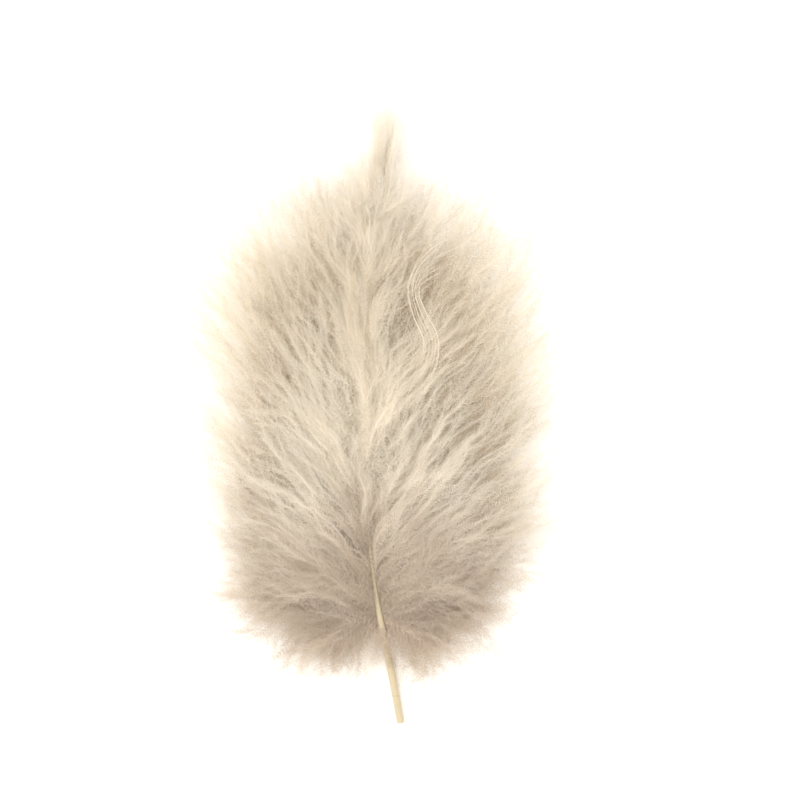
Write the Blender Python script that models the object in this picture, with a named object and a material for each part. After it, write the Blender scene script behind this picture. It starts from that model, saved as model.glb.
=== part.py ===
"""A marabou feather that lies on a table: a short bare quill, a tapering shaft, and a broad plume of down.

Metres, +Z up. The feather lies along +Y, with its quill at -Y and its tip at +Y, and rests on z = 0.
Its origin is the middle of its box, at the table. It grew as one piece, so it is one solid.
The plume is modelled as locks of down in three layers, each joined to the shaft that it grows from.
"""

import math
import random

import bmesh
import bpy
from mathutils import Vector

# Driving dimensions
QUILL_END_Y = -0.0771  # the cut end of the bare quill
VANE_START_Y = -0.0519  # where the quill ends and the first down grows
SHAFT_LENGTH = 0.114  # from the first down to the shaft's own tip
PLUME_HALF_WIDTH = 0.0495  # from the middle to the widest point of the plume
TUFT_TIP = Vector((0.0043, 0.0771, 0.0040))
TABLE_CUT_DEPTH = 0.01

# The shaft, from the quill's cut end to its hair-thin tip. A station is a share of SHAFT_LENGTH,
# counted from the first down, so it is below zero on the bare quill: (station, x, z, radius).
QUILL_STATION = (QUILL_END_Y - VANE_START_Y) / SHAFT_LENGTH
SHAFT = (
    (QUILL_STATION, 0.0074, 0.00080, 0.00088),
    (-0.110, 0.0051, 0.00150, 0.00096),
    (0.000, 0.0025, 0.00300, 0.00088),
    (0.040, 0.0017, 0.00370, 0.00068),
    (0.130, 0.0002, 0.00520, 0.00048),
    (0.270, -0.0012, 0.00700, 0.00040),
    (0.450, -0.0018, 0.00820, 0.00034),
    (0.600, -0.0013, 0.00840, 0.00030),
    (0.770, 0.0000, 0.00780, 0.00026),
    (1.000, 0.0026, 0.00600, 0.00020),
)
SHAFT_TOP = max(row[2] for row in SHAFT)
SHAFT_RINGS = 20
SHAFT_BEVEL_RESOLUTION = 2

# The outline of one side of the plume, from its lowest down to its tip:
# (place, station of the root, distance from the middle as a share of PLUME_HALF_WIDTH,
# distance above VANE_START_Y).
OUTLINE = (
    (0.00, 0.000, 0.22, -0.0130),
    (0.10, 0.008, 0.55, -0.0090),
    (0.20, 0.018, 0.83, 0.0030),
    (0.30, 0.035, 0.97, 0.0190),
    (0.40, 0.060, 1.00, 0.0370),
    (0.50, 0.100, 0.99, 0.0560),
    (0.60, 0.170, 0.92, 0.0760),
    (0.70, 0.270, 0.80, 0.0930),
    (0.80, 0.380, 0.64, 0.1060),
    (0.88, 0.500, 0.46, 0.1120),
    (0.95, 0.640, 0.25, 0.1140),
    (1.00, 0.780, 0.07, 0.1150),
)

# The three layers of locks on each side, with the heights that a lock of FULL_LOCK_LENGTH has.
# A shorter one keeps closer to the shaft.
Layer = dict[str, float]
LAYERS: dict[str, Layer] = {
    "under": {"locks": 9, "first": 0.05, "last": 0.90, "reach": 0.88, "width": 0.0092},
    "middle": {"locks": 13, "first": 0.02, "last": 0.98, "reach": 1.00, "width": 0.0084},
    "upper": {"locks": 9, "first": 0.30, "last": 0.95, "reach": 0.72, "width": 0.0076},
}
LAYER_HEIGHTS: dict[str, Layer] = {
    "under": {"rise": -0.0020, "fall": 0.0006, "tip": 0.0004, "lift": 0.0},
    "middle": {"rise": 0.0035, "fall": 0.0085, "tip": 0.0045, "lift": 0.0020},
    "upper": {"rise": 0.0090, "fall": 0.0165, "tip": 0.0115, "lift": 0.0020},
}
FULL_LOCK_LENGTH = 0.045
LOCK_THICK = 0.0011
LOCK_RINGS = 7
LOCK_TAPER = ((0.0, 0.40), (0.2, 0.80), (0.45, 1.0), (0.7, 0.84), (0.9, 0.40), (1.0, 0.05))
LAUNCH_TURN = math.radians(18)  # a lock leaves the shaft this much closer to it than it ends up
ARRIVE_TURN = math.radians(15)  # and its end fans out this much further
SHINGLE_ROLL = math.radians(14)  # each lock leans a little over the next one towards the tip
ROLL_RANGE = (0.7, 1.3)
STRETCH_RANGE = (0.95, 1.0)
SWING_RANGE_DEGREES = (-7, 7)
VARIATION_SEED = 8

TUFT_ROOT_STATION = 0.86
TUFT_WIDTH = 0.0056
TUFT_THICK = 0.0022

# The thick down under the shaft, which carries it
PAD_WIDTH = 0.0100
PAD_THICK = 0.0094
PAD_LEVEL = 0.42  # the height of its middle, as a share of the shaft's
PAD_FIRST_STATION = 0.01
PAD_LAST_STATION = 0.97
PAD_RINGS = 14

WELD_DISTANCE = 1e-5
SMOOTH_ANGLE = math.radians(40)
DOWN_COLOUR = (0.68, 0.58, 0.46, 1.0)
DOWN_ROUGHNESS = 0.95


def read_curve(rows, key):
    """The values that a table of (key, values...) rows has at a key, on a smooth curve through them."""
    last = len(rows) - 1
    i = max(0, min(last - 1, sum(row[0] <= key for row in rows) - 1))
    low, high = rows[i], rows[i + 1]
    before, after = rows[max(i - 1, 0)], rows[min(i + 2, last)]
    span = high[0] - low[0]
    t = max(0.0, min(1.0, (key - low[0]) / span))
    values = []
    for k in range(1, len(low)):
        slope_low = span * (high[k] - before[k]) / (high[0] - before[0])
        slope_high = span * (after[k] - low[k]) / (after[0] - low[0])
        values.append(
            low[k] * (2 * t**3 - 3 * t**2 + 1)
            + slope_low * (t**3 - 2 * t**2 + t)
            + high[k] * (3 * t**2 - 2 * t**3)
            + slope_high * (t**3 - t**2)
        )
    return values


def evenly(first, last, count):
    return [first + (last - first) * i / (count - 1) for i in range(count)]


def shaft_point(station):
    """The middle of the shaft at a station, and its radius there."""
    x, z, radius = read_curve(SHAFT, station)
    return Vector((x, VANE_START_Y + station * SHAFT_LENGTH, z)), radius


def bezier(points, t):
    """A point on the cubic curve with these four control points."""
    a, b, c, d = points
    u = 1 - t
    return a * u**3 + b * (3 * u * u * t) + c * (3 * u * t * t) + d * t**3


def lock_line(side, place, reach, heights, swing, lift):
    """The four control points of the line that a lock follows, from its root in the shaft to its tip."""
    station, out, along = read_curve(OUTLINE, place)
    root, _ = shaft_point(station)
    edge = Vector((side * out * PLUME_HALF_WIDTH, VANE_START_Y + along, 0))
    tip = root.lerp(edge, reach)
    chord = tip.xy - root.xy
    spread = min(1, chord.length / FULL_LOCK_LENGTH)
    third = chord.length / 3
    heading = math.atan2(side * chord.x, chord.y) + swing
    leaving = heading - LAUNCH_TURN
    arriving = heading + ARRIVE_TURN
    start = root + third * Vector((side * math.sin(leaving), math.cos(leaving), 0))
    end = tip - third * Vector((side * math.sin(arriving), math.cos(arriving), 0))
    start.z = root.z + spread * heights["rise"]
    end.z = root.z + spread * (heights["fall"] + lift - root.z)
    tip.z = root.z + spread * (heights["tip"] + lift - root.z)
    return root, start, end, tip


def new_curve(name, points, radii, roll=0):
    """A curve object through these points, with a radius at each, and its section rolled about it."""
    curve = bpy.data.curves.new(name, "CURVE")
    curve.dimensions = "3D"
    curve.use_fill_caps = True
    curve.twist_mode = "Z_UP"
    spline = curve.splines.new("POLY")
    spline.points.add(len(points) - 1)
    for place, point, radius in zip(spline.points, points, radii):
        place.co = (*point, 1)
        place.radius = radius
        place.tilt = roll
    return bpy.data.objects.new(name, curve)


def as_mesh(curve_object, collection):
    """The curve's shape as a closed mesh object in a collection. The curve is removed."""
    bpy.context.scene.collection.objects.link(curve_object)
    graph = bpy.context.evaluated_depsgraph_get()
    mesh = bpy.data.meshes.new_from_object(curve_object.evaluated_get(graph))
    name = curve_object.name
    bpy.data.objects.remove(curve_object)
    shape = bmesh.new()
    shape.from_mesh(mesh)
    bmesh.ops.remove_doubles(shape, verts=shape.verts, dist=WELD_DISTANCE)
    bmesh.ops.recalc_face_normals(shape, faces=shape.faces)
    shape.to_mesh(mesh)
    shape.free()
    made = bpy.data.objects.new(name, mesh)
    collection.objects.link(made)
    return made


def new_section(name, width, thick):
    """A flattened six-sided cross-section, as a curve to bevel with."""
    curve = bpy.data.curves.new(name, "CURVE")
    curve.dimensions = "2D"
    spline = curve.splines.new("POLY")
    spline.points.add(5)
    for i, place in enumerate(spline.points):
        turn = math.radians(60 * i)
        place.co = (width / 2 * math.cos(turn), thick / 2 * math.sin(turn), 0, 1)
    spline.use_cyclic_u = True
    section = bpy.data.objects.new(name, curve)
    bpy.context.scene.collection.objects.link(section)
    section.hide_render = True
    section.display_type = "WIRE"
    return section


def add_lock(name, controls, section, roll, collection):
    """One lock: its section, swept along its line and tapered to a point."""
    shares = evenly(0, 1, LOCK_RINGS)
    points = [bezier(controls, t) for t in shares]
    radii = [read_curve(LOCK_TAPER, t)[0] for t in shares]
    lock = new_curve(name, points, radii, roll)
    lock.data.bevel_mode = "OBJECT"
    lock.data.bevel_object = section
    return as_mesh(lock, collection)


def add_layer(layer_name, chance, collection):
    """The locks of one layer, on both sides of the shaft."""
    layer = LAYERS[layer_name]
    heights = LAYER_HEIGHTS[layer_name]
    section = new_section(layer_name + "_section", layer["width"], LOCK_THICK)
    for side, side_name in ((-1, "left"), (1, "right")):
        for i, place in enumerate(evenly(layer["first"], layer["last"], layer["locks"])):
            reach = layer["reach"] * chance.uniform(*STRETCH_RANGE)
            swing = math.radians(chance.uniform(*SWING_RANGE_DEGREES))
            lift = chance.uniform(0, heights["lift"])
            roll = side * SHINGLE_ROLL * chance.uniform(*ROLL_RANGE)
            controls = lock_line(side, place, reach, heights, swing, lift)
            add_lock(f"{layer_name}_lock_{side_name}_{i + 1}", controls, section, roll, collection)
    bpy.data.objects.remove(section)


def add_tip_tuft(collection):
    """The narrow tuft of the topmost down, past the end of the shaft."""
    section = new_section("tuft_section", TUFT_WIDTH, TUFT_THICK)
    root, _ = shaft_point(TUFT_ROOT_STATION)
    controls = [root.lerp(TUFT_TIP, i / 3) for i in range(4)]
    add_lock("tip_tuft", controls, section, 0, collection)
    bpy.data.objects.remove(section)


def add_pad(collection):
    """The thick down between the shaft and the table, which the locks grow out of."""
    section = new_section("pad_section", PAD_WIDTH, PAD_THICK)
    points = []
    radii = []
    for station in evenly(PAD_FIRST_STATION, PAD_LAST_STATION, PAD_RINGS):
        point, _ = shaft_point(station)
        radii.append((1 - abs(2 * station - 1) ** 3) * point.z / SHAFT_TOP)
        point.z *= PAD_LEVEL
        points.append(point)
    pad = new_curve("pad_of_down", points, radii)
    pad.data.bevel_mode = "OBJECT"
    pad.data.bevel_object = section
    as_mesh(pad, collection)
    bpy.data.objects.remove(section)


def add_shaft(collection):
    """The quill and shaft, as one tapering tube with its cut end closed."""
    placed = [shaft_point(station) for station in evenly(QUILL_STATION, 1, SHAFT_RINGS)]
    shaft = new_curve("feather", [point for point, _ in placed], [radius for _, radius in placed])
    shaft.data.bevel_depth = 1.0
    shaft.data.bevel_resolution = SHAFT_BEVEL_RESOLUTION
    return as_mesh(shaft, collection)


def add_table_cut(collection):
    """The space below the table, which flattens the down that is pressed on it."""
    size = 2 * (VANE_START_Y + SHAFT_LENGTH - QUILL_END_Y)
    bpy.ops.mesh.primitive_cube_add(size=1, location=(0, 0, -TABLE_CUT_DEPTH / 2))
    cut = bpy.context.active_object
    cut.name = "table_cut"
    cut.scale = (size, size, TABLE_CUT_DEPTH)
    bpy.ops.object.transform_apply(location=True, scale=True)
    for old in cut.users_collection:
        old.objects.unlink(cut)
    collection.objects.link(cut)
    return cut


def connected_faces(shape):
    """The faces of a bmesh in groups, each of which hangs together."""
    left = set(shape.faces)
    groups = []
    while left:
        start = left.pop()
        group = [start]
        border = [start]
        while border:
            for edge in border.pop().edges:
                for face in edge.link_faces:
                    if face in left:
                        left.remove(face)
                        group.append(face)
                        border.append(face)
        groups.append(group)
    return groups


def keep_outer_shell(joined):
    """Applies the object's modifiers and fills the pockets of air that its locks seal off between them."""
    graph = bpy.context.evaluated_depsgraph_get()
    mesh = bpy.data.meshes.new_from_object(joined.evaluated_get(graph))
    joined.modifiers.clear()
    joined.data = mesh
    shape = bmesh.new()
    shape.from_mesh(mesh)
    groups = sorted(connected_faces(shape), key=len)
    pockets = [face for group in groups[:-1] for face in group]
    bmesh.ops.delete(shape, geom=pockets, context="FACES")
    bmesh.ops.triangulate(shape, faces=shape.faces, quad_method="BEAUTY", ngon_method="BEAUTY")
    shape.to_mesh(mesh)
    shape.free()


def down_material():
    material = bpy.data.materials.new("down")
    material.use_nodes = True
    shader = material.node_tree.nodes["Principled BSDF"]
    shader.inputs["Base Color"].default_value = DOWN_COLOUR
    shader.inputs["Roughness"].default_value = DOWN_ROUGHNESS
    shader.inputs["Metallic"].default_value = 0
    return material


def new_collection(name):
    collection = bpy.data.collections.new(name)
    bpy.context.scene.collection.children.link(collection)
    return collection


def main():
    for old in list(bpy.data.objects):
        bpy.data.objects.remove(old)
    finished = new_collection("marabou_feather")
    down = new_collection("down_to_join")
    cutters = new_collection("cutters")

    feather = add_shaft(finished)
    add_pad(down)
    chance = random.Random(VARIATION_SEED)
    for layer_name in LAYERS:
        add_layer(layer_name, chance, down)
    add_tip_tuft(down)
    cut = add_table_cut(cutters)
    for helper in [*down.objects, cut]:
        helper.hide_render = True
        helper.display_type = "WIRE"

    joined = feather.modifiers.new("join_down", "BOOLEAN")
    joined.operation = "UNION"
    joined.operand_type = "COLLECTION"
    joined.collection = down
    joined.solver = "MANIFOLD"
    flattened = feather.modifiers.new("flatten_on_table", "BOOLEAN")
    flattened.operation = "DIFFERENCE"
    flattened.object = cut
    flattened.solver = "MANIFOLD"
    keep_outer_shell(feather)

    feather.data.materials.clear()
    feather.data.materials.append(down_material())
    feather.data.shade_smooth()
    feather.data.set_sharp_from_angle(angle=SMOOTH_ANGLE)


main()
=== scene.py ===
"""A marabou feather lying on a pale table: an ivory quill, a thin shaft, and soft taupe and cream down.

The barbs are meshed strand by strand from arrays. Each is a fine ribbon with barbules along both edges, and
they gather in tufts, which gather in the same locks as the solid of the feather. Metres, +Z up.
"""

import math
import random

import bpy
import numpy as np
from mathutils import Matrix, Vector


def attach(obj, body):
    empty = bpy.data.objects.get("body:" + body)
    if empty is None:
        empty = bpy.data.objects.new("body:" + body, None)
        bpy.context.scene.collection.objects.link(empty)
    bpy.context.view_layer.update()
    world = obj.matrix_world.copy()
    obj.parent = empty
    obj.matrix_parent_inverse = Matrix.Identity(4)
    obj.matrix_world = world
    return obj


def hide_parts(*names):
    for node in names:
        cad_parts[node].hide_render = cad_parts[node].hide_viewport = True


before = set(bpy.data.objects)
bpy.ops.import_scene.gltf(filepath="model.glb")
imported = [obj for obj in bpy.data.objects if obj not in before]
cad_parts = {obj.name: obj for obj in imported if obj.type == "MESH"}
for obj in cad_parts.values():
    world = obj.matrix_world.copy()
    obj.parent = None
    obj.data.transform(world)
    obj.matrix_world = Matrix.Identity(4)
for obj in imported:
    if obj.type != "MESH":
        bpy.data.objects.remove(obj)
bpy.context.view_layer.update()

MM = 0.001

# The feather's form, with the values of its solid, except that the quill's end is raised onto the table
QUILL_END_Y = -0.0771
VANE_START_Y = -0.0519
SHAFT_LENGTH = 0.114
PLUME_HALF_WIDTH = 0.0495
TUFT_TIP = (0.0043, 0.0771, 0.0040)
QUILL_STATION = (QUILL_END_Y - VANE_START_Y) / SHAFT_LENGTH

# The shaft: (station, x, z, radius). A station is a share of SHAFT_LENGTH, counted from the first down.
SHAFT = (
    (QUILL_STATION, 0.0074, 0.00092, 0.00088),
    (-0.110, 0.0051, 0.00150, 0.00096),
    (0.000, 0.0025, 0.00300, 0.00088),
    (0.040, 0.0017, 0.00370, 0.00068),
    (0.130, 0.0002, 0.00520, 0.00048),
    (0.270, -0.0012, 0.00700, 0.00040),
    (0.450, -0.0018, 0.00820, 0.00034),
    (0.600, -0.0013, 0.00840, 0.00030),
    (0.770, 0.0000, 0.00780, 0.00026),
    (1.000, 0.0026, 0.00600, 0.00020),
)

# The outline of one side of the plume, from its lowest down to its tip: (place, station of the root,
# distance from the middle as a share of PLUME_HALF_WIDTH, distance above VANE_START_Y)
OUTLINE = (
    (0.00, 0.000, 0.22, -0.0130),
    (0.10, 0.008, 0.55, -0.0090),
    (0.20, 0.018, 0.83, 0.0030),
    (0.30, 0.035, 0.97, 0.0190),
    (0.40, 0.060, 1.00, 0.0370),
    (0.50, 0.100, 0.99, 0.0560),
    (0.60, 0.170, 0.92, 0.0760),
    (0.70, 0.270, 0.80, 0.0930),
    (0.80, 0.380, 0.64, 0.1060),
    (0.88, 0.500, 0.46, 0.1120),
    (0.95, 0.640, 0.25, 0.1140),
    (1.00, 0.780, 0.07, 0.1150),
)

# The three layers of locks on each side. The values from locks to lift are the solid's. The others say how
# many tufts fill a lock, how far they reach beside it, how many millimetres they stand above it, and how far
# apart and how wide their barbules are where they leave a barb.
LAYERS = {
    "under": {
        "locks": 9, "first": 0.05, "last": 0.90, "reach": 0.88,
        "rise": -0.0020, "fall": 0.0006, "tip": 0.0004, "lift": 0.0,
        "tufts": 6, "reaches": (0.86, 1.02), "stands": (0.0, 4.2), "spacing": 0.0014, "base": 0.00018,
    },
    "middle": {
        "locks": 13, "first": 0.02, "last": 0.98, "reach": 1.00,
        "rise": 0.0035, "fall": 0.0085, "tip": 0.0045, "lift": 0.0020,
        "tufts": 7, "reaches": (0.86, 1.04), "stands": (-2.8, 1.6), "spacing": 0.00105, "base": 0.00014,
    },
    "upper": {
        "locks": 9, "first": 0.30, "last": 0.95, "reach": 0.72,
        "rise": 0.0090, "fall": 0.0165, "tip": 0.0115, "lift": 0.0020,
        "tufts": 9, "reaches": (0.60, 1.04), "stands": (-2.4, 1.6), "spacing": 0.0009, "base": 0.00011,
    },
}
FULL_LOCK_LENGTH = 0.045
LAUNCH_TURN = math.radians(18)
ARRIVE_TURN = math.radians(15)
ROLL_RANGE = (0.7, 1.3)
STRETCH_RANGE = (0.95, 1.0)
SWING_RANGE_DEGREES = (-7, 7)
VARIATION_SEED = 8


def read_curve(rows, key):
    """The values of a table of (key, values...) rows at each key, on a smooth curve through them."""
    rows = np.asarray(rows, float)
    keys, values = rows[:, 0], rows[:, 1:]
    key = np.clip(np.asarray(key, float), keys[0], keys[-1])
    i = np.clip(np.searchsorted(keys, key, side="right") - 1, 0, len(keys) - 2)
    before, after = np.maximum(i - 1, 0), np.minimum(i + 2, len(keys) - 1)
    span = (keys[i + 1] - keys[i])[..., None]
    t = (key - keys[i])[..., None] / span
    slope_low = span * (values[i + 1] - values[before]) / (keys[i + 1] - keys[before])[..., None]
    slope_high = span * (values[after] - values[i]) / (keys[after] - keys[i])[..., None]
    return (
        values[i] * (2 * t**3 - 3 * t**2 + 1)
        + slope_low * (t**3 - 2 * t**2 + t)
        + values[i + 1] * (3 * t**2 - 2 * t**3)
        + slope_high * (t**3 - t**2)
    )


def varied(chance, spread, shape=None):
    """Random values about zero, most of them within the spread and none past twice that."""
    return spread * np.clip(chance.normal(0, 1, shape), -2, 2)


def between(pair, share):
    """The value at a share of the way from the first of a pair to the second."""
    return pair[0] + (pair[1] - pair[0]) * share


def smoothstep(low, high, x):
    """0 up to low and 1 from high on, with a soft slope between them."""
    t = np.clip((x - low) / (high - low), 0, 1)
    return t * t * (3 - 2 * t)


def unit(v):
    return v / np.maximum(np.linalg.norm(v, axis=-1, keepdims=True), 1e-12)


def shaft_point(station):
    """The middle of the shaft at each station, as rows of x, y, z."""
    row = read_curve(SHAFT, station)
    y = VANE_START_Y + np.asarray(station, float) * SHAFT_LENGTH
    return np.stack([row[..., 0], y, row[..., 1]], axis=-1)


def shaft_radius(station):
    return read_curve(SHAFT, station)[..., 2]


def bezier(controls, t):
    """Points on the cubic curves of these control points, at each t: an array of curves by points by xyz."""
    a, b, c, d = (p[:, None, :] for p in controls)
    t = t[None, :, None]
    u = 1 - t
    return a * u**3 + b * (3 * u * u * t) + c * (3 * u * t * t) + d * t**3


# Barbs
UP = np.array([0.0, 0.0, 1.0])
LOWEST = 0.00008  # above the table
FEWEST_NODES = 10
NODE_CROWDING = 0.72  # below 1, the nodes of a barb crowd towards its tip
RIBBON_HALF_WIDTHS = (0.000060, 0.000028)  # at the root and at the tip
RIBBON_TAPER = 0.7  # below 1, a ribbon thins sooner
RIBBON_RANGE = (0.7, 1.3)  # how wide it is beside the usual
RIBBON_ROLL = 0.7  # radians about its own line, at most, at the root
RIBBON_TWIST = 1.0  # radians more or less, at most, from the root to the tip
BARBULE_SWEEP = (16, 58)  # degrees from the way that the barb goes
BARBULE_ROLL = 0.6  # radians out of the ribbon's plane
BARBULE_RANGE = (0.4, 1.2)  # how long it is beside the usual
BARBULE_BASE_TAPER = 0.30
BARBULES_AT_EDGE = 2  # at each edge of each inner node
SIDE_EDGE = 0.0440  # from the middle: past it, the down spreads by the share below less
HIGH_EDGE = 0.0145  # above the table: past it, the down stands up by the same share less
STRAY_DRAWN_IN = 0.50
PAINTED_SHADE_DEPTHS = (0.0024, 0.0085)  # painted shade: where the down starts to darken under the upper side, and where it is darkest
FLUFF_SEED = 23


class Fluff:
    """Gathers barbs, each a ribbon with barbules, and makes them into one mesh piece.

    Nodes are spacing apart along a barb, and each barbule is base wide where it leaves the ribbon.
    """

    made = []

    def __init__(self, name, chance, spacing=0.00085, base=0.00010):
        self.made.append(self)
        self.name = name
        self.chance = chance
        self.spacing = spacing
        self.base = base
        self.points = []
        self.faces = []
        self.marks = []
        self.fluffs = []
        self.count = 0

    def add_barbs(self, lines, t, barbules, light, ribbon):
        """Barbs that follow lines, an array of barbs by nodes by xyz, with the nodes at the shares t.

        barbules holds their length at each node, light how pale each barb is, and ribbon how wide the barbs
        are beside the usual.
        """
        chance = self.chance
        barbs, nodes, _ = lines.shape
        along = unit(np.gradient(lines, axis=1))
        up = unit(UP - along * along[..., 2:])
        side = np.cross(along, up)
        twist = chance.uniform(-RIBBON_ROLL, RIBBON_ROLL, (barbs, 1))
        twist = twist + chance.uniform(-RIBBON_TWIST, RIBBON_TWIST, (barbs, 1)) * t
        across = np.cos(twist)[..., None] * side + np.sin(twist)[..., None] * up
        over = np.cross(across, along)
        half = between(RIBBON_HALF_WIDTHS, t**RIBBON_TAPER)[None, :, None]
        half = half * ribbon * chance.uniform(*RIBBON_RANGE, (barbs, 1, 1))
        mark = np.stack(np.broadcast_arrays(t[None, :], light[:, None]), axis=-1)
        edges = np.stack([lines - across * half, lines + across * half], axis=2)
        index = np.arange(edges[..., 0].size).reshape(barbs, nodes, 2)
        a, b = index[:, :-1, 0], index[:, :-1, 1]
        c, d = index[:, 1:, 1], index[:, 1:, 0]
        points = [edges.reshape(-1, 3)]
        marks = [np.repeat(mark.reshape(-1, 2), 2, axis=0)]
        fluffs = [np.zeros(index.size)]
        faces = [np.stack([a, b, c], -1).reshape(-1, 3), np.stack([a, c, d], -1).reshape(-1, 3)]

        # The barbules at one edge of a node share the ribbon's point there, and one ahead of it
        inner = slice(1, nodes - 1)
        inner_marks = mark[:, inner].reshape(-1, 2)
        shape = (barbs, nodes - 2)
        count = barbs * (nodes - 2)
        first = index.size
        for edge, sign in ((0, -1), (1, 1)):
            base = edges[:, inner, edge]
            base_index = index[:, inner, edge].ravel()
            ahead_index = first + np.arange(count)
            foot = self.base * (1 - BARBULE_BASE_TAPER * t[inner])[None, :, None]
            points.append((base + along[:, inner] * foot).reshape(-1, 3))
            marks.append(inner_marks)
            fluffs.append(np.zeros(count))
            first += count
            for _ in range(BARBULES_AT_EDGE):
                roll = chance.normal(0, BARBULE_ROLL, shape)[..., None]
                sweep = np.radians(chance.uniform(*BARBULE_SWEEP, shape))[..., None]
                length = (barbules[:, inner] * chance.uniform(*BARBULE_RANGE, shape))[..., None]
                outward = sign * np.cos(roll) * across[:, inner] + np.sin(roll) * over[:, inner]
                tips = base + (np.cos(sweep) * along[:, inner] + np.sin(sweep) * outward) * length
                tip_index = first + np.arange(count)
                points.append(tips.reshape(-1, 3))
                marks.append(inner_marks)
                fluffs.append(np.ones(count))
                first += count
                trio = (base_index, ahead_index, tip_index)
                if sign > 0:
                    trio = (base_index, tip_index, ahead_index)
                faces.append(np.stack(trio, -1))
        self.points.append(np.concatenate(points))
        self.marks.append(np.concatenate(marks))
        self.fluffs.append(np.concatenate(fluffs))
        self.faces.append(np.concatenate(faces) + self.count)
        self.count += first

    def settle(self):
        """Joins what was gathered, draws in down that strays too far, and keeps it all above the table."""
        points = np.concatenate(self.points)
        past_side = np.maximum(np.abs(points[:, 0]) - SIDE_EDGE, 0)
        points[:, 0] -= np.sign(points[:, 0]) * past_side * STRAY_DRAWN_IN
        points[:, 2] -= np.maximum(points[:, 2] - HIGH_EDGE, 0) * STRAY_DRAWN_IN
        points[:, 2] = np.maximum(points[:, 2], LOWEST)
        self.points = points
        self.fluffs = np.concatenate(self.fluffs)

    def finish(self, material, surface):
        """The gathered barbs as one mesh object, which stands for the CAD feather."""
        points = self.points
        faces = np.concatenate(self.faces)
        mesh = bpy.data.meshes.new(self.name)
        mesh.vertices.add(len(points))
        mesh.vertices.foreach_set("co", points.astype(np.float32).ravel())
        mesh.loops.add(faces.size)
        mesh.loops.foreach_set("vertex_index", faces.astype(np.int32).ravel())
        mesh.polygons.add(len(faces))
        mesh.polygons.foreach_set("loop_start", np.arange(0, faces.size, 3, dtype=np.int32))
        mesh.update(calc_edges=True)
        uv = mesh.uv_layers.new(name="barb")
        uv.uv.foreach_set("vector", np.concatenate(self.marks)[faces.ravel()].astype(np.float32).ravel())
        fluff = mesh.attributes.new("fluff", "FLOAT", "POINT")
        fluff.data.foreach_set("value", self.fluffs.astype(np.float32))
        # The share of painted shade at each point, from how much down lies over it
        depth = mesh.attributes.new("depth", "FLOAT", "POINT")
        depth.data.foreach_set("value", smoothstep(*PAINTED_SHADE_DEPTHS, surface.above(points)).astype(np.float32))
        mesh.shade_smooth()
        mesh.materials.append(material)
        made = bpy.data.objects.new(self.name, mesh)
        bpy.context.scene.collection.objects.link(made)
        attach(made, "root")
        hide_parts("feather")


CELL = 0.0016
CELLS_CORNER = (-0.07, -0.09)  # the other corner is the same distance past the origin
SOFTENING_ROUNDS = 3


class Surface:
    """The upper side of all the down, under which shade is painted: its height in square cells, softened over
    their neighbours.
    """

    def __init__(self, fluffs):
        self.low = np.array(CELLS_CORNER)
        size = np.ceil(-2 * self.low / CELL).astype(int) + 1
        self.heights = np.zeros(size)
        for fluff in fluffs:
            points = fluff.points[fluff.fluffs == 0]
            np.maximum.at(self.heights, self.cells(points), points[:, 2])
        for _ in range(SOFTENING_ROUNDS):
            for axis in (0, 1):
                beside = np.roll(self.heights, 1, axis) + np.roll(self.heights, -1, axis)
                self.heights = 0.5 * self.heights + 0.25 * beside

    def cells(self, points):
        """The cell that each point is in, as an index into the heights."""
        place = np.rint((points[:, :2] - self.low) / CELL).astype(int)
        return tuple(np.clip(place, 0, np.array(self.heights.shape) - 1).T)

    def above(self, points):
        """How much down lies over each point, in metres."""
        return np.maximum(self.heights[self.cells(points)] - points[:, 2], 0)


def controls(side, roots, tips, rise, fall, launch, arrive, swings=0.0):
    """The control points of barbs that leave the shaft launch steeper and end arrive flatter than a line."""
    chord = (tips - roots)[:, :2]
    third = (np.linalg.norm(chord, axis=1) / 3)[:, None]
    heading = np.arctan2(side * chord[:, 0], chord[:, 1]) + swings

    def step(angle):
        return np.stack([side * np.sin(angle), np.cos(angle), np.zeros_like(angle)], axis=-1)

    start = roots + third * step(heading - launch)
    end = tips - third * step(heading + arrive)
    start[:, 2] = roots[:, 2] + rise
    end[:, 2] = fall
    return roots, start, end, tips


def bend(lines, turns):
    """The lines, each of their steps turned about +Z by the angle for it, so that they keep their length."""
    steps = np.diff(lines, axis=1)
    cos, sin = np.cos(turns[:, 1:]), np.sin(turns[:, 1:])
    x, y, z = steps[..., 0], steps[..., 1], steps[..., 2]
    turned = np.stack([cos * x - sin * y, sin * x + cos * y, z], axis=-1)
    return np.concatenate([lines[:, :1], lines[:, :1] + np.cumsum(turned, axis=1)], axis=1)


# How a tuft grows low and high on the feather: angles in degrees, lengths in millimetres.
# launch and arrive each hold a mean and a spread, and the other pairs hold a range or two ends.
LOW_TUFT = {
    "barbs": 6, "span": 0.03, "hold": 0.42, "shares": (0.72, 1.0), "launch": (5, 14), "arrive": (12, 26),
    "curl": 36, "wave": 18, "wave_length": (9, 20), "own_curl": 17, "ripple": 13, "body": 0.9,
    "barbules": (3.1, 2.8), "ribbon": 0.55, "light": 0.42,
}
HIGH_TUFT = {
    "barbs": 5, "span": 0.04, "hold": 0.48, "shares": (0.82, 1.0), "launch": (5, 13), "arrive": (0, 18),
    "curl": 17, "wave": 14, "wave_length": (10, 24), "own_curl": 10, "ripple": 9, "body": 0.7,
    "barbules": (2.6, 2.0), "ribbon": 0.72, "light": 0.52,
}
FLANK = (0.85, -0.2)  # where barbs leave the shaft, to the side and up, in its radii
LAST_STATION = 0.99
LEAD_PULL = 0.20
LEAD_PULL_ALONG = (0.2, 1.0)
HOLD_ALONG = (0.06, 0.85)
BARB_SWING = 5  # degrees
STRAY_SHARE = 0.08
STRAY_SWING = 10  # degrees more
STRAY_HOLD = 0.2
CURLY_LENGTH = 0.032  # longer tufts curl less
CURL_POWER = 1.6  # above 1, a tuft curls most towards its tip
RIPPLE_LENGTHS = (4, 9)
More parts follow.
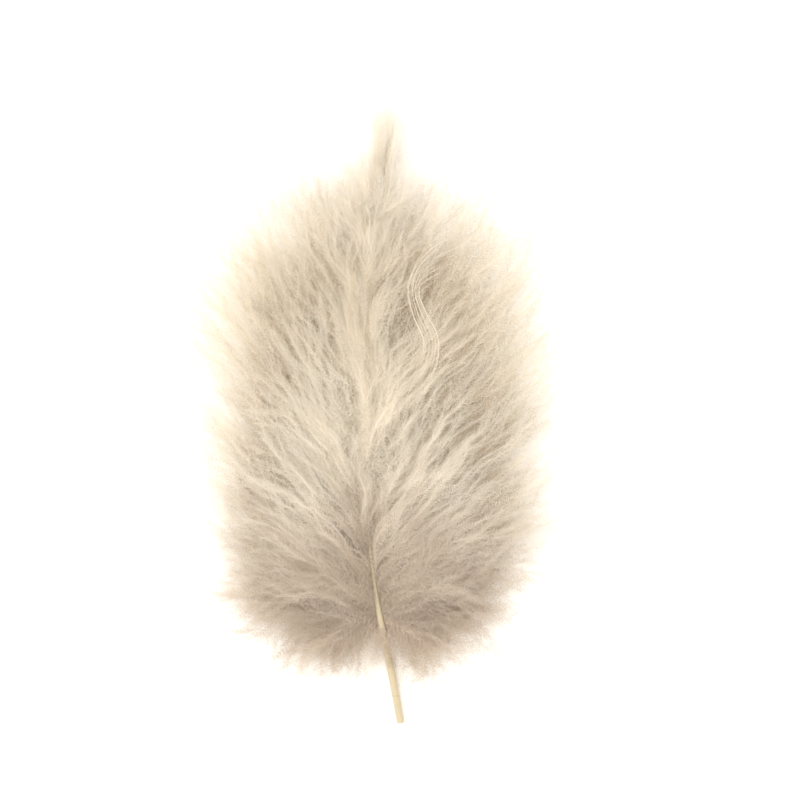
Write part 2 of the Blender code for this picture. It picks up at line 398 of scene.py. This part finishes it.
RIPPLE_HEIGHT = 0.15 * MM
TUFT_LIGHT_SPREAD = 0.17
BARB_LIGHT_SPREAD = 0.18


def tuft_between(share, **changes):
    """The way of growing at a share of the way from low to high, with some values changed."""
    look = {}
    for key, low in LOW_TUFT.items():
        high = HIGH_TUFT[key]
        if isinstance(low, tuple):
            look[key] = tuple(between(pair, share) for pair in zip(low, high))
        else:
            look[key] = between((low, high), share)
    look.update(changes)
    look["barbs"] = round(look["barbs"])
    return look


def flank(side, station):
    """The side of the shaft, where the barbs of the vane leave it."""
    out, up = FLANK
    return shaft_point(station) + shaft_radius(station)[..., None] * (out * side, 0.0, up)


def add_tuft(fluff, side, station, tip, rise, fall, look, lead=None, crest=False):
    """One tuft: barbs that leave a short stretch of the shaft, and gather towards one tip and a lock's lead.

    A crest tuft leaves the top of the shaft, and any other its side.
    """
    chance = fluff.chance
    count = look["barbs"]
    root = shaft_point(station) if crest else flank(side, station)
    tip = np.asarray(tip, float)
    reach = float(np.linalg.norm(tip - root))
    nodes = max(FEWEST_NODES, math.ceil(reach / fluff.spacing) + 1)
    t = np.linspace(0, 1, nodes) ** NODE_CROWDING
    launch, arrive = (math.radians(look[k][0] + varied(chance, look[k][1])) for k in ("launch", "arrive"))
    guide = bezier(controls(side, root[None], tip[None], rise, fall, launch, arrive), t)[0]
    if lead is not None:
        pull = LEAD_PULL * smoothstep(*LEAD_PULL_ALONG, t)[:, None]
        guide = guide * (1 - pull) + bezier(lead, t)[0] * pull

    # Each barb goes its own way, and is held towards the guide
    stations = np.clip(station + chance.uniform(-0.5, 0.5, count) * look["span"], 0, LAST_STATION)
    shares = chance.uniform(*look["shares"], count)
    stray = chance.uniform(0, 1, count) < STRAY_SHARE
    roots = shaft_point(stations) if crest else flank(side, stations)
    tips = roots + (tip - roots) * shares[:, None]
    swings = varied(chance, BARB_SWING, count) + np.where(stray, varied(chance, STRAY_SWING, count), 0)
    ends = controls(side, roots, tips, rise, fall, launch, arrive, np.radians(swings))
    own = bezier(ends, t)
    held = np.stack([np.interp(np.outer(shares, t), t, guide[:, axis]) for axis in range(3)], axis=-1)
    hold = np.where(stray, STRAY_HOLD, look["hold"])[:, None] * smoothstep(*HOLD_ALONG, t)
    lines = own + (held - own) * hold[..., None]

    # The tuft waves and curls as one, and its barbs curl and ripple a little on their own
    wave_length = chance.uniform(*look["wave_length"]) * MM
    wave = look["wave"] * np.sin(2 * math.pi * (t * reach / wave_length + chance.uniform(0, 1)))
    curl = varied(chance, look["curl"]) * min(1, CURLY_LENGTH / reach) * t**CURL_POWER
    own_curl = varied(chance, look["own_curl"], (count, 1)) * (0.3 + 0.7 * t)
    ripple_length = chance.uniform(*RIPPLE_LENGTHS, (count, 1)) * MM
    ripple_turn = 2 * math.pi * (t * reach / ripple_length + chance.uniform(0, 1, (count, 1)))
    ripple = chance.uniform(0.3, 1, (count, 1)) * look["ripple"] * np.sin(ripple_turn)
    lines = bend(lines, np.radians(wave + curl + own_curl + ripple * smoothstep(0, 0.3, t)))
    rounding = np.sin(np.pi * t**0.7) + 0.1
    lines[..., 2] += rounding * varied(chance, look["body"], (count, 1)) * MM
    lines[..., 2] += RIPPLE_HEIGHT * np.cos(ripple_turn) * t
    lines[..., 2] = np.maximum(lines[..., 2], 2 * LOWEST)

    barbules = between(look["barbules"], smoothstep(0.1, 0.9, t)) * MM
    barbules = barbules * (1 - 0.5 * smoothstep(0.92, 1, t)) * chance.uniform(0.75, 1.2, (count, 1))
    light = look["light"] + varied(chance, TUFT_LIGHT_SPREAD) + varied(chance, BARB_LIGHT_SPREAD, count)
    fluff.add_barbs(part_down(lines), t, barbules, np.clip(light, 0, 1), look["ribbon"])


# The soft dark gaps where the upper down parts: the middle, and how far it opens, how long it is and how
# it leans from +Y towards +X, in millimetres and degrees
PARTINGS = (
    ((7.6, 22.5), 2.4, 8.5, 4),
    ((-12.5, 21.5), 1.8, 9.0, -32),
    ((-7.5, 6.0), 1.9, 11.0, -26),
    ((3.0, -11.5), 2.4, 8.0, 14),
    ((-6.0, 41.5), 1.0, 6.0, -14),
    ((28.0, 1.0), 0.6, 9.0, 24),
    ((-27.0, -10.0), 1.2, 12.0, -30),
    ((22.0, -30.0), 0.5, 8.0, 42),
    ((-18.0, -24.0), 1.3, 9.0, -38),
)
PARTING_EDGE = 1.8 * MM
PARTING_FADE = 4  # how far to the side the push goes, beside how far the gap opens
PARTING_HEIGHTS = (0.0036, 0.0070)  # below the first no down parts, and above the second all of it does


def part_down(lines):
    """The lines, pushed aside where they cross a parting."""
    moved = lines.copy()
    parted = smoothstep(*PARTING_HEIGHTS, lines[..., 2])
    for (middle_x, middle_y), opening, length, lean in PARTINGS:
        turn = math.radians(lean)
        x, y = lines[..., 0] - middle_x * MM, lines[..., 1] - middle_y * MM
        across = math.cos(turn) * x - math.sin(turn) * y
        along = math.sin(turn) * x + math.cos(turn) * y
        fade = np.exp(-((along / (length * MM)) ** 2) - (across / (PARTING_FADE * opening * MM)) ** 2)
        push = opening * MM * np.tanh(across / PARTING_EDGE) * fade * parted
        moved[..., 0] += push * math.cos(turn)
        moved[..., 1] -= push * math.sin(turn)
    return moved


def outline_tip(side, place, reach):
    """The root at a place on the plume's outline, and the point at this reach from it towards the outline."""
    station, out, along = read_curve(OUTLINE, place)
    root = shaft_point(station)
    edge = np.array([side * out * PLUME_HALF_WIDTH, VANE_START_Y + along, 0.0])
    return float(station), root, root + reach * (edge - root)


def add_vane(chance):
    """The locks of both sides and all three layers, each parted into tufts."""
    lock_chance = random.Random(VARIATION_SEED)
    for layer_name, layer in LAYERS.items():
        for side, side_name in ((-1, "left"), (1, "right")):
            fluff = Fluff(f"{layer_name}_down_{side_name}", chance, layer["spacing"], layer["base"])
            spacing = (layer["last"] - layer["first"]) / (layer["locks"] - 1)
            for i in range(layer["locks"]):
                place = layer["first"] + spacing * i
                reach = layer["reach"] * lock_chance.uniform(*STRETCH_RANGE)
                swing = math.radians(lock_chance.uniform(*SWING_RANGE_DEGREES))
                lift = lock_chance.uniform(0, layer["lift"])
                # The roll is the solid's alone, and is drawn so that the next lock gets the solid's values
                lock_chance.uniform(*ROLL_RANGE)
                add_lock(fluff, layer, side, place, spacing, reach, swing, lift)


TUFTS_OVERLAP = 1.2  # how wide a lock's tufts stand, beside the space from one lock to the next
TUFT_PLACE_SPREAD = 0.006
LOW_TO_HIGH = (0.25, 0.62)  # the places up to which tufts are the low kind, and from which the high kind
TUFT_SWING = 0.5  # how far a tuft goes along with the swing of its lock
TUFT_WANDER = 0.0060  # how far a tuft's tip strays to the side
TUFT_RISE_SPREAD = 1.0 * MM
TUFT_FALL_SPREAD = 0.8 * MM
LOWEST_TUFT = 0.4 * MM


def add_lock(fluff, layer, side, place, spacing, reach, swing, lift):
    """One lock of the solid feather, as tufts side by side."""
    chance = fluff.chance
    _, root, tip = outline_tip(side, place, reach)
    spread = min(1, np.linalg.norm((tip - root)[:2]) / FULL_LOCK_LENGTH)
    rise = spread * layer["rise"]
    fall = root[2] + spread * (layer["fall"] + lift - root[2])
    tip[2] = root[2] + spread * (layer["tip"] + lift - root[2])
    lead = controls(side, root[None], tip[None], rise, fall, LAUNCH_TURN, ARRIVE_TURN, swing)
    for k in range(layer["tufts"]):
        share = (k + 0.5) / layer["tufts"] - 0.5
        wander = varied(chance, TUFT_PLACE_SPREAD)
        tuft_place = float(np.clip(place + share * spacing * TUFTS_OVERLAP + wander, 0, 1))
        tuft_reach = reach * chance.uniform(*layer["reaches"])
        station, tuft_root, tuft_tip = outline_tip(side, tuft_place, tuft_reach)
        x, y, _ = tuft_tip - tuft_root
        turn = -side * (TUFT_SWING * swing + varied(chance, TUFT_WANDER) / math.hypot(x, y))
        tuft_tip[0] = tuft_root[0] + math.cos(turn) * x - math.sin(turn) * y
        tuft_tip[1] = tuft_root[1] + math.sin(turn) * x + math.cos(turn) * y
        stand = chance.uniform(*layer["stands"]) * MM
        tuft_tip[2] = max(tip[2] + stand, LOWEST_TUFT)
        tuft_rise = rise + varied(chance, TUFT_RISE_SPREAD)
        tuft_fall = max(fall + stand + varied(chance, TUFT_FALL_SPREAD), LOWEST_TUFT)
        look = tuft_between(float(smoothstep(*LOW_TO_HIGH, tuft_place)))
        add_tuft(fluff, side, station, tuft_tip, tuft_rise, tuft_fall, look, lead)


def by_turns(i):
    """The side of the ith tuft, where tufts grow to the left and to the right by turns."""
    return 1 if i % 2 else -1


def tip_at(root, length, heading, height):
    """The point at this length from a root, with the heading counted from +Y towards +X."""
    return root[0] + length * math.sin(heading), root[1] + length * math.cos(heading), height


DOME_TUFTS = 86
DOME_PLACES = (0.36, 1.0)
DOME_CROWDING = 0.82  # below 1, the tufts crowd towards the top
DOME_REACHES = (0.84, 1.0)
DOME_TOP_REACH = 0.15  # how much further the tufts of the top reach than those of the sides
DOME_TOP_PLACES = (0.50, 0.68)  # where the sides go over into the top
DOME_HEIGHTS = (3, 10)
DOME_RISES = (0, 4)
DOME_ARCH = 2.0 * MM  # how far above its tip a tuft comes down to it


def add_dome(chance):
    """The tufts that fill the sides and the broad, soft top."""
    fluff = Fluff("dome_down", chance, spacing=0.0011, base=0.00016)
    look = tuft_between(1.0, barbs=6, light=0.58)
    for i in range(DOME_TUFTS):
        side = by_turns(i)
        share = ((i + chance.uniform(0, 1)) / DOME_TUFTS) ** DOME_CROWDING
        place = between(DOME_PLACES, share)
        reach = chance.uniform(*DOME_REACHES) + DOME_TOP_REACH * float(smoothstep(*DOME_TOP_PLACES, place))
        station, _, tip = outline_tip(side, place, reach)
        tip[2] = chance.uniform(*DOME_HEIGHTS) * MM
        rise = chance.uniform(*DOME_RISES) * MM
        add_tuft(fluff, side, station, tip, rise, tip[2] + DOME_ARCH, look)


# The tufts on top of the shaft. A pair holds the values at the first station and at the last, except that
# CREST_STRETCH is a range. Lengths and heights are in millimetres, and headings in degrees from +Y.
CREST_TUFTS = 118
CREST_STATIONS = (0.13, 0.88)
CREST_LENGTHS = (40, 22)
CREST_STRETCH = (0.6, 1.1)
CREST_SPREADS = (24, 16)
CREST_TOPS = (14.0, 9.5)
CREST_TOP_SPREAD = 1.1
CREST_SIDE_DROP = 6  # how much lower a tuft lies that heads straight to the side
CREST_RISES = (5.5, 3.5)
CREST_ARCH = 2.2 * MM
CREST_KINDS = (0.30, 1.0)  # the way of growing, from 0 for low to 1 for high
CROSS_TUFT_EVERY = 7  # a cross tuft is thicker, stands higher and heads to the side, over the others
CROSS_HEADINGS = (42, 28)
CROSS_SPREAD = 14
CROSS_BARBS = 3
CROSS_LIFT = 2


def add_crest(chance):
    """The tufts that grow from the top of the shaft and fan out along it, so that they hide it."""
    fluff = Fluff("crest_down", chance)
    for i in range(CREST_TUFTS):
        share = (i + chance.uniform(0, 1)) / CREST_TUFTS
        station = between(CREST_STATIONS, share)
        side = by_turns(i)
        length = between(CREST_LENGTHS, share) * chance.uniform(*CREST_STRETCH) * MM
        cross = i % CROSS_TUFT_EVERY == 0
        spread = CROSS_SPREAD if cross else between(CREST_SPREADS, share)
        heading = math.radians(varied(chance, spread) + cross * side * between(CROSS_HEADINGS, share))
        top = between(CREST_TOPS, share) - CREST_SIDE_DROP * abs(math.sin(heading)) + CROSS_LIFT * cross
        top = (top + varied(chance, CREST_TOP_SPREAD)) * MM
        tip = tip_at(shaft_point(station), length, heading, top)
        kind = between(CREST_KINDS, share)
        look = tuft_between(kind, barbs=6 + CROSS_BARBS * cross, light=0.62, launch=(0, 20), curl=26)
        rise = between(CREST_RISES, share) * MM
        add_tuft(fluff, side, station, tip, rise, top + CREST_ARCH, look, crest=True)


TIP_TUFTS = 28
TIP_STATIONS = (0.70, 0.98)
TIP_TOP_HALF_WIDTH = 0.0029
TIP_PAST_SOLID = 0.0020
TIP_DEPTH = 7  # how far the shortest tufts end below the longest, in millimetres
TIP_CROWDING = 1.5  # above 1, the ends of the tufts crowd towards the top
TIP_HEIGHTS = (-1, 3)
TIP_RISE = 1.5 * MM
TIP_ARCH = 1.0 * MM
WISP_TUFTS = 2
WISP_STATION = 0.80
WISP_TIP = (0.0078, 0.0672, 0.0060)
WISP_SPREAD = 0.5
WISP_RISE = 1.0 * MM


def add_tip(chance):
    """The narrow, hazy tuft past the end of the shaft, and the wisp beside it."""
    fluff = Fluff("tip_tuft", chance, base=0.00014)
    look = tuft_between(0.8, shares=(0.88, 1.0), launch=(0, 4), arrive=(0, 5), curl=4, wave=4, own_curl=5)
    look.update(body=0.45, barbules=(1.5, 1.3), light=0.7)
    for i in range(TIP_TUFTS):
        share = i / (TIP_TUFTS - 1)
        side = 1 if share > 0.5 else -1
        station = chance.uniform(*TIP_STATIONS)
        across = (2 * share - 1) * TIP_TOP_HALF_WIDTH
        back = chance.uniform(0, 1) ** TIP_CROWDING * TIP_DEPTH * MM
        tip = np.array(TUFT_TIP) + (across, TIP_PAST_SOLID - back, chance.uniform(*TIP_HEIGHTS) * MM)
        add_tuft(fluff, side, station, tip, TIP_RISE, tip[2] + TIP_ARCH, look, crest=True)
    for _ in range(WISP_TUFTS):
        tip = np.array(WISP_TIP) + chance.normal(0, WISP_SPREAD, 3) * MM
        add_tuft(fluff, 1, WISP_STATION, tip, WISP_RISE, tip[2] + TIP_ARCH, look)


BASE_TUFTS = 46
BASE_LAST_STATION = 0.10
BASE_CROWDING = 1.3  # above 1, the tufts crowd towards the quill
BASE_LENGTHS = (9, 24)
BASE_HEADINGS = (42, 128)
BASE_HEIGHTS = (1.0, 6.0)
BASE_RISES = (-1, 2)
BASE_ARCH = 1.5 * MM


def add_base(chance):
    """The short, soft down round the place where the vane starts."""
    fluff = Fluff("base_down", chance)
    look = tuft_between(0.0, shares=(0.7, 1.0), curl=38, light=0.36)
    for i in range(BASE_TUFTS):
        side = by_turns(i)
        station = BASE_LAST_STATION * chance.uniform(0, 1) ** BASE_CROWDING
        length = chance.uniform(*BASE_LENGTHS) * MM
        heading = math.radians(chance.uniform(*BASE_HEADINGS))
        height = chance.uniform(*BASE_HEIGHTS) * MM
        tip = tip_at(shaft_point(station), length, side * heading, height)
        rise = chance.uniform(*BASE_RISES) * MM
        add_tuft(fluff, side, station, tip, rise, height + BASE_ARCH, look)


# The pale wavy lock that lies on the right, from its root to its tip: x, y, z
WAVY_LOCK = (
    (-0.0010, -0.0170, 0.0070),
    (0.0050, -0.0040, 0.0085),
    (0.0125, 0.0080, 0.0112),
    (0.0150, 0.0170, 0.0152),
    (0.0120, 0.0245, 0.0172),
    (0.0106, 0.0300, 0.0176),
    (0.0122, 0.0346, 0.0170),
    (0.0163, 0.0382, 0.0150),
    (0.0210, 0.0402, 0.0128),
)
WAVY_BARBS = 13
WAVY_NODES = 80
WAVY_HALF_WIDTH = 0.0023
WAVY_ENDS = (0.82, 1.0)
WAVY_BARBULES = (1.4, 0.3)  # at both ends of a barb, and along its smooth middle
WAVY_LIGHT = (0.80, 1.15)
WAVY_RIBBON = 1.15


def add_wavy_lock(chance):
    """A loose lock of smooth, pale barbs that lies over the others in an S."""
    fluff = Fluff("wavy_lock", chance)
    path = np.array(WAVY_LOCK)
    t = np.linspace(0, 1, WAVY_NODES)
    line = read_curve(np.column_stack([np.linspace(0, 1, len(path)), path]), t)
    across = unit(np.cross(unit(np.gradient(line, axis=0)), UP))
    ends = chance.uniform(*WAVY_ENDS, WAVY_BARBS)
    lines = np.stack([np.interp(np.outer(ends, t), t, line[:, axis]) for axis in range(3)], axis=-1)
    fan = 0.9 - 0.3 * smoothstep(0.3, 0.7, t) + 0.9 * smoothstep(0.75, 1, t)
    offset = np.linspace(-1, 1, WAVY_BARBS)[:, None] * WAVY_HALF_WIDTH * fan
    offset = offset + 0.16 * MM * np.sin(7 * t + chance.uniform(0, 6, (WAVY_BARBS, 1)))
    offset = offset + chance.normal(0, 0.22, (WAVY_BARBS, 1)) * MM * np.sin(np.pi * t)
    lines = lines + across * offset[..., None]
    lines[..., 2] += chance.normal(0, 0.6, (WAVY_BARBS, 1)) * MM * np.sin(np.pi * t)
    smooth = smoothstep(0.15, 0.45, t) * (1 - smoothstep(0.80, 1, t))
    barbules = np.broadcast_to(between(WAVY_BARBULES, smooth) * MM, (WAVY_BARBS, WAVY_NODES))
    fluff.add_barbs(lines, t, barbules, chance.uniform(*WAVY_LIGHT, WAVY_BARBS), WAVY_RIBBON)


def finish_down(material):
    """Settles all the down, and then makes its pieces, each with painted shade where down lies over it."""
    for fluff in Fluff.made:
        fluff.settle()
    surface = Surface(Fluff.made)
    for fluff in Fluff.made:
        fluff.finish(material, surface)


# Materials


class Value:
    """A shader socket. Sums, differences and products of it add Math nodes."""

    def __init__(self, material, socket):
        self.material = material
        self.socket = socket

    def math(self, operation, first, second):
        return self.material.add("ShaderNodeMath", {"operation": operation}, {0: first, 1: second})

    def __add__(self, other):
        return self.math("ADD", self, other)

    __radd__ = __add__

    def __mul__(self, other):
        return self.math("MULTIPLY", self, other)

    __rmul__ = __mul__

    def __sub__(self, other):
        return self.math("SUBTRACT", self, other)

    def __rsub__(self, other):
        return self.math("SUBTRACT", other, self)


class Finish:
    """A material that is built node by node."""

    def __init__(self, name):
        self.made = bpy.data.materials.new(name)
        self.made.use_nodes = True
        self.tree = self.made.node_tree
        self.tree.nodes.clear()

    def add(self, kind, settings, inputs, output=0):
        """Adds a node, sets its settings, then sets or links its sockets, and returns one of its outputs."""
        node = self.tree.nodes.new(kind)
        for key, value in settings.items():
            if key == "stops":
                ramp = node.color_ramp
                while len(ramp.elements) < len(value):
                    ramp.elements.new(0.5)
                for element, (place, colour) in zip(ramp.elements, value):
                    element.position = place
                    element.color = (*colour, 1)
            else:
                setattr(node, key, value)
        for key, value in inputs.items():
            if isinstance(value, Value):
                self.tree.links.new(value.socket, node.inputs[key])
            else:
                node.inputs[key].default_value = value
        return Value(self, node.outputs[output]) if node.outputs else None

    def mix(self, factor, low, high):
        """The colour that is low where the factor is 0 and high where it is 1."""
        return self.add("ShaderNodeMix", {"data_type": "RGBA"}, {0: factor, 6: low, 7: high}, output=2)

    def multiply(self, factor, colour, tint):
        """The colour, times the tint where the factor is 1."""
        settings = {"data_type": "RGBA", "blend_type": "MULTIPLY"}
        return self.add("ShaderNodeMix", settings, {0: factor, 6: colour, 7: tint}, output=2)

    def range(self, value, low, high, new_low=0.0, new_high=1.0):
        """new_low up to low and new_high from high on, with a soft slope between them."""
        limits = {0: value, 1: low, 2: high, 3: new_low, 4: new_high}
        return self.add("ShaderNodeMapRange", {"interpolation_type": "SMOOTHSTEP"}, limits)

    def xyz(self, vector):
        node = self.add("ShaderNodeSeparateXYZ", {}, {0: vector}).socket.node
        return [Value(self, out) for out in node.outputs]

    def noise(self, vector, scale, detail):
        return self.add("ShaderNodeTexNoise", {}, {"Vector": vector, "Scale": scale, "Detail": detail})

    def place(self):
        """The object coordinates."""
        return self.add("ShaderNodeTexCoord", {}, {}, output=3)

    def shade(self, colour, value):
        """The colour, made lighter or darker."""
        return self.add("ShaderNodeHueSaturation", {}, {"Color": colour, "Value": value})

    def surface(self, sockets):
        return self.add("ShaderNodeBsdfPrincipled", {}, sockets)

    def output(self, shader):
        """Ends the material, and returns it."""
        self.add("ShaderNodeOutputMaterial", {}, {0: shader})
        return self.made


def srgb(*colour):
    """An sRGB colour of 0 to 255 as the linear colour that shaders take."""
    shares = [value / 255 for value in colour]
    return tuple(c / 12.92 if c <= 0.04045 else ((c + 0.055) / 1.055) ** 2.4 for c in shares)


# The colours of the down, each at its share of the way from the quill's end to the tip
DOWN_COLOURS = (
    (0.15, srgb(229, 216, 200)),
    (0.45, srgb(254, 248, 236)),
    (0.75, srgb(245, 237, 221)),
    (0.97, srgb(251, 246, 237)),
)
BARB_SHIFT = 0.12  # how far up these colours a barb's tip is beyond its root
PATCH_SHIFT = 0.25
LIGHT_SHIFT = 0.10
PAINTED_SHADE_TINT = (0.77, 0.72, 0.66)  # painted shade: what the colour is multiplied by, deep under the upper side
TRANSLUCENCE = 0.50


def down_finish():
    finish = Finish("marabou down")
    t, light, _ = finish.xyz(finish.add("ShaderNodeUVMap", {"uv_map": "barb"}, {}))
    fluff = finish.add("ShaderNodeAttribute", {"attribute_name": "fluff"}, {}, output=2)
    depth = finish.add("ShaderNodeAttribute", {"attribute_name": "depth"}, {}, output=2)
    place = finish.place()
    _, y, _ = finish.xyz(place)
    height = (y - QUILL_END_Y) * (1 / (TUFT_TIP[1] - QUILL_END_Y))
    patches = finish.noise(place, 90.0, 1.0)
    key = height + (t - 0.5) * BARB_SHIFT + (patches - 0.5) * PATCH_SHIFT + (light - 0.5) * LIGHT_SHIFT
    colour = finish.add("ShaderNodeValToRGB", {"stops": DOWN_COLOURS}, {0: key})
    # Painted shade: the colour darkens and warms where down lies over the barb
    with_painted_shade = finish.multiply(depth, colour, (*PAINTED_SHADE_TINT, 1))
    mottle = finish.noise(place, 170.0, 2.0)
    value = (0.90 + light * 0.17) * (1 - t * 0.05) * (1 - fluff * 0.06) * (0.93 + mottle * 0.14)
    shaded = finish.shade(with_painted_shade, value)
    matte = finish.surface({"Base Color": shaded, "Roughness": 0.62, "Specular IOR Level": 0.25})
    through = finish.add("ShaderNodeBsdfTranslucent", {}, {"Color": shaded})
    return finish.output(finish.add("ShaderNodeMixShader", {}, {0: TRANSLUCENCE, 1: matte, 2: through}))


QUILL_COLOUR = (*srgb(197, 182, 149), 1)
SHAFT_COLOUR = (*srgb(192, 177, 148), 1)
QUILL_TO_SHAFT_Y = (-0.056, -0.048)
GROWTH_LINE_Y = -0.0704  # the faint line across the quill
GROWTH_LINE_EDGE = (0.00008, 0.00022)  # from its middle, where it starts to fade and where it ends


def quill_finish():
    finish = Finish("ivory quill")
    place = finish.place()
    _, y, _ = finish.xyz(place)
    streaks = finish.noise(place, 900.0, 3.0)
    colour = finish.mix(finish.range(y, *QUILL_TO_SHAFT_Y), QUILL_COLOUR, SHAFT_COLOUR)
    from_line = finish.add("ShaderNodeMath", {"operation": "ABSOLUTE"}, {0: y - GROWTH_LINE_Y})
    line = finish.range(from_line, *GROWTH_LINE_EDGE, 1.0, 0.0)
    shaded = finish.shade(colour, (0.9 + streaks * 0.2) * (1 - line * 0.16))
    ivory = {"Base Color": shaded, "Roughness": 0.34, "Specular IOR Level": 0.5}
    ivory.update({"Coat Weight": 0.35, "Coat Roughness": 0.12})
    return finish.output(finish.surface(ivory))


QUILL_SIDES = 20
QUILL_RINGS = 14
QUILL_LAST_STATION = 0.06
SHAFT_RINGS = 20
SHAFT_FIRST_STATION = 0.09
QUILL_WALL = 0.00030
QUILL_HOLLOW_DEPTH = 0.0016


def add_quill(material):
    """The bare quill and the shaft, drawn out ring by ring from the hollow cut end."""
    quill_stations = np.linspace(QUILL_STATION, QUILL_LAST_STATION, QUILL_RINGS)
    stations = np.concatenate([quill_stations, np.linspace(SHAFT_FIRST_STATION, 1.0, SHAFT_RINGS)])
    middles = [Vector(p) for p in shaft_point(stations)]
    radii = [float(r) for r in shaft_radius(stations)]
    heading = (middles[1] - middles[0]).normalized()
    turn = heading.to_track_quat("Z", "Y").to_euler()
    bpy.ops.object.select_all(action="DESELECT")
    bpy.ops.mesh.primitive_circle_add(
        vertices=QUILL_SIDES, radius=radii[0], location=middles[0], rotation=turn
    )
    quill = bpy.context.active_object
    quill.name = "quill_and_shaft"
    bpy.ops.object.transform_apply(location=True, rotation=True, scale=True)
    bpy.ops.object.mode_set(mode="EDIT")
    bpy.ops.mesh.select_all(action="SELECT")
    for old, new, old_radius, new_radius in zip(middles, middles[1:], radii, radii[1:]):
        bpy.ops.mesh.extrude_edges_move(TRANSFORM_OT_translate={"value": new - old})
        ratio = new_radius / old_radius
        bpy.ops.transform.resize(value=(ratio, ratio, ratio), center_override=new)
    bpy.ops.mesh.merge(type="COLLAPSE")

    # The open end is closed, and sunk in to leave a wall
    bpy.ops.mesh.select_all(action="DESELECT")
    bpy.ops.mesh.select_non_manifold()
    bpy.ops.mesh.edge_face_add()
    bpy.ops.mesh.inset(thickness=QUILL_WALL)
    bpy.ops.mesh.extrude_region_move(TRANSFORM_OT_translate={"value": heading * QUILL_HOLLOW_DEPTH})
    bpy.ops.mesh.select_all(action="SELECT")
    bpy.ops.mesh.normals_make_consistent(inside=False)
    bpy.ops.object.mode_set(mode="OBJECT")
    quill.data.materials.append(material)
    quill.data.shade_smooth()
    quill.data.set_sharp_from_angle(angle=math.radians(50))
    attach(quill, "root")
    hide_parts("feather")


def add_table():
    bpy.ops.object.select_all(action="DESELECT")
    bpy.ops.mesh.primitive_plane_add(size=6, location=(0, 0, 0))
    table = bpy.context.active_object
    table.name = "white_table"
    finish = Finish("white table")
    matte = finish.surface({"Base Color": (0.96, 0.93, 0.885, 1), "Roughness": 0.9})
    table.data.materials.append(finish.output(matte))


def add_light():
    """Soft white light from all round, and a wide window up on the left that gives it a direction."""
    world = bpy.data.worlds.new("white studio")
    bpy.context.scene.world = world
    world.use_nodes = True
    background = world.node_tree.nodes["Background"]
    background.inputs["Color"].default_value = (1.0, 0.985, 0.965, 1)
    background.inputs["Strength"].default_value = 1.22
    key = bpy.data.lights.new("soft window", "AREA")
    key.shape = "RECTANGLE"
    key.size = 0.5
    key.size_y = 0.5
    key.energy = 2.6
    key.color = (1.0, 0.985, 0.96)
    holder = bpy.data.objects.new("soft window", key)
    bpy.context.scene.collection.objects.link(holder)
    holder.location = (-0.26, 0.20, 0.62)
    holder.rotation_euler = (Vector((0, 0, 0)) - holder.location).to_track_quat("-Z", "Y").to_euler()


CAMERA_MIDDLE = (0.00725, 0.00335)
CAMERA_VIEW_WIDTH = 0.200
CAMERA_LENS = 100.0
CAMERA_SENSOR = 36.0


def add_camera():
    """A long lens that looks straight down, from where the view at the table has its width."""
    data = bpy.data.cameras.new("camera")
    data.lens = CAMERA_LENS
    data.sensor_width = CAMERA_SENSOR
    camera = bpy.data.objects.new("camera", data)
    bpy.context.scene.collection.objects.link(camera)
    camera.location = (*CAMERA_MIDDLE, CAMERA_VIEW_WIDTH * CAMERA_LENS / CAMERA_SENSOR)
    bpy.context.scene.camera = camera


add_camera()
add_light()
add_table()
bpy.context.scene.view_settings.view_transform = "Standard"
add_quill(quill_finish())
fluff_chance = np.random.default_rng(FLUFF_SEED)
add_vane(fluff_chance)
add_crest(fluff_chance)
add_tip(fluff_chance)
add_base(fluff_chance)
add_dome(fluff_chance)
add_wavy_lock(fluff_chance)
finish_down(down_finish())
